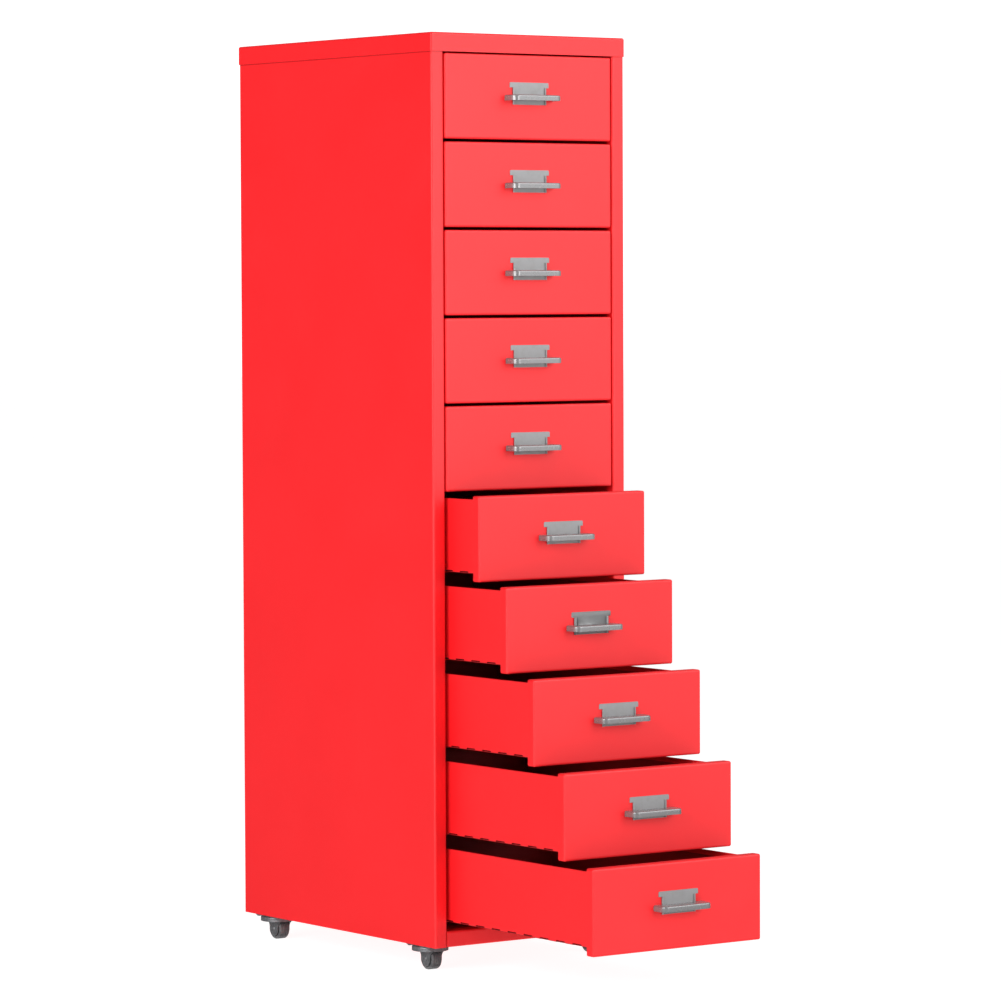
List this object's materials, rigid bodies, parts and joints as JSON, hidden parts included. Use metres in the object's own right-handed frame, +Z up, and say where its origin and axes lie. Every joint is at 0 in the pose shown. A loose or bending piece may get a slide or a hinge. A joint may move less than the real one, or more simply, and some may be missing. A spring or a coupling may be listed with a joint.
{
  "type": "rolling tool chest",
  "caption": "Tall slim sheet-steel tool chest of stacked sliding drawers with label-holder pulls, rolling on small swivel casters.",
  "frame": {"origin": "on the floor under the wheels, in the middle of the chest's width, and halfway between the rivets on the back and the front edge of the lowest drawer's pull as it stands open at rest", "axes": "+Z up; -Y is the way that the drawers pull out; +X to the right of a person facing the drawers"},
  "size_m": [0.28, 0.709, 1.09],
  "materials": {
    "red_paint": "semi-gloss powder coat",
    "bright_nickel": "polished plate",
    "zinc_steel": "dull zinc plate",
    "dark_wheel": "moulded"
  },
  "bodies": {
    "cabinet": {"side_left": "red_paint", "side_right": "red_paint", "back_panel": "red_paint", "top_cover": "red_paint", "bottom_panel": "red_paint", "front_rail": "red_paint", "runners_left": "red_paint", "runners_right": "red_paint", "caster_channels": "red_paint", "caster_top_plates": "zinc_steel", "caster_screws": "zinc_steel", "carcass_rivets": "zinc_steel"},
    "drawer_01": {"drawer_01_tray": "red_paint", "drawer_01_front": "red_paint", "drawer_01_pull": "bright_nickel", "drawer_01_label_holder": "bright_nickel"},
    "drawer_02": {"drawer_02_tray": "red_paint", "drawer_02_front": "red_paint", "drawer_02_pull": "bright_nickel", "drawer_02_label_holder": "bright_nickel"},
    "drawer_03": {"drawer_03_tray": "red_paint", "drawer_03_front": "red_paint", "drawer_03_pull": "bright_nickel", "drawer_03_label_holder": "bright_nickel"},
    "drawer_04": {"drawer_04_tray": "red_paint", "drawer_04_front": "red_paint", "drawer_04_pull": "bright_nickel", "drawer_04_label_holder": "bright_nickel"},
    "drawer_05": {"drawer_05_tray": "red_paint", "drawer_05_front": "red_paint", "drawer_05_pull": "bright_nickel", "drawer_05_label_holder": "bright_nickel"},
    "drawer_06": {"drawer_06_tray": "red_paint", "drawer_06_front": "red_paint", "drawer_06_pull": "bright_nickel", "drawer_06_label_holder": "bright_nickel"},
    "drawer_07": {"drawer_07_tray": "red_paint", "drawer_07_front": "red_paint", "drawer_07_pull": "bright_nickel", "drawer_07_label_holder": "bright_nickel"},
    "drawer_08": {"drawer_08_tray": "red_paint", "drawer_08_front": "red_paint", "drawer_08_pull": "bright_nickel", "drawer_08_label_holder": "bright_nickel"},
    "drawer_09": {"drawer_09_tray": "red_paint", "drawer_09_front": "red_paint", "drawer_09_pull": "bright_nickel", "drawer_09_label_holder": "bright_nickel"},
    "drawer_10": {"drawer_10_tray": "red_paint", "drawer_10_front": "red_paint", "drawer_10_pull": "bright_nickel", "drawer_10_label_holder": "bright_nickel"},
    "front_left_swivel": {"caster_front_left_fork": "zinc_steel"},
    "front_left_wheel": {"caster_front_left_wheel": "dark_wheel"},
    "front_right_swivel": {"caster_front_right_fork": "zinc_steel"},
    "front_right_wheel": {"caster_front_right_wheel": "dark_wheel"},
    "rear_left_swivel": {"caster_rear_left_fork": "zinc_steel"},
    "rear_left_wheel": {"caster_rear_left_wheel": "dark_wheel"},
    "rear_right_swivel": {"caster_rear_right_fork": "zinc_steel"},
    "rear_right_wheel": {"caster_rear_right_wheel": "dark_wheel"}
  },
  "joints": [
    {"name": "drawer_01_slide", "type": "slide", "parent": "cabinet", "child": "drawer_01", "axis": [0, -1, 0], "range_m": [0, 0.3]},
    {"name": "drawer_02_slide", "type": "slide", "parent": "cabinet", "child": "drawer_02", "axis": [0, -1, 0], "range_m": [0, 0.3]},
    {"name": "drawer_03_slide", "type": "slide", "parent": "cabinet", "child": "drawer_03", "axis": [0, -1, 0], "range_m": [0, 0.3]},
    {"name": "drawer_04_slide", "type": "slide", "parent": "cabinet", "child": "drawer_04", "axis": [0, -1, 0], "range_m": [0, 0.3]},
    {"name": "drawer_05_slide", "type": "slide", "parent": "cabinet", "child": "drawer_05", "axis": [0, -1, 0], "range_m": [0, 0.3]},
    {"name": "drawer_06_slide", "type": "slide", "parent": "cabinet", "child": "drawer_06", "axis": [0, -1, 0], "range_m": [-0.064, 0.236]},
    {"name": "drawer_07_slide", "type": "slide", "parent": "cabinet", "child": "drawer_07", "axis": [0, -1, 0], "range_m": [-0.117, 0.183]},
    {"name": "drawer_08_slide", "type": "slide", "parent": "cabinet", "child": "drawer_08", "axis": [0, -1, 0], "range_m": [-0.169, 0.131]},
    {"name": "drawer_09_slide", "type": "slide", "parent": "cabinet", "child": "drawer_09", "axis": [0, -1, 0], "range_m": [-0.226, 0.074]},
    {"name": "drawer_10_slide", "type": "slide", "parent": "cabinet", "child": "drawer_10", "axis": [0, -1, 0], "range_m": [-0.279, 0.021]},
    {"name": "front_left_swivel_turn", "type": "hinge", "parent": "cabinet", "child": "front_left_swivel", "pos_m": [-0.117, -0.0135, 0.024], "axis": [0, 0, 1], "continuous": true},
    {"name": "front_left_wheel_spin", "type": "hinge", "parent": "front_left_swivel", "child": "front_left_wheel", "pos_m": [-0.117, -0.016, 0.0125], "axis": [1, 0, 0], "continuous": true},
    {"name": "front_right_swivel_turn", "type": "hinge", "parent": "cabinet", "child": "front_right_swivel", "pos_m": [0.117, -0.0135, 0.024], "axis": [0, 0, 1], "continuous": true},
    {"name": "front_right_wheel_spin", "type": "hinge", "parent": "front_right_swivel", "child": "front_right_wheel", "pos_m": [0.117, -0.016, 0.0125], "axis": [1, 0, 0], "continuous": true},
    {"name": "rear_left_swivel_turn", "type": "hinge", "parent": "cabinet", "child": "rear_left_swivel", "pos_m": [-0.117, 0.3105, 0.024], "axis": [0, 0, 1], "continuous": true},
    {"name": "rear_left_wheel_spin", "type": "hinge", "parent": "rear_left_swivel", "child": "rear_left_wheel", "pos_m": [-0.117, 0.308, 0.0125], "axis": [1, 0, 0], "continuous": true},
    {"name": "rear_right_swivel_turn", "type": "hinge", "parent": "cabinet", "child": "rear_right_swivel", "pos_m": [0.117, 0.3105, 0.024], "axis": [0, 0, 1], "continuous": true},
    {"name": "rear_right_wheel_spin", "type": "hinge", "parent": "rear_right_swivel", "child": "rear_right_wheel", "pos_m": [0.117, 0.308, 0.0125], "axis": [1, 0, 0], "continuous": true}
  ]
}
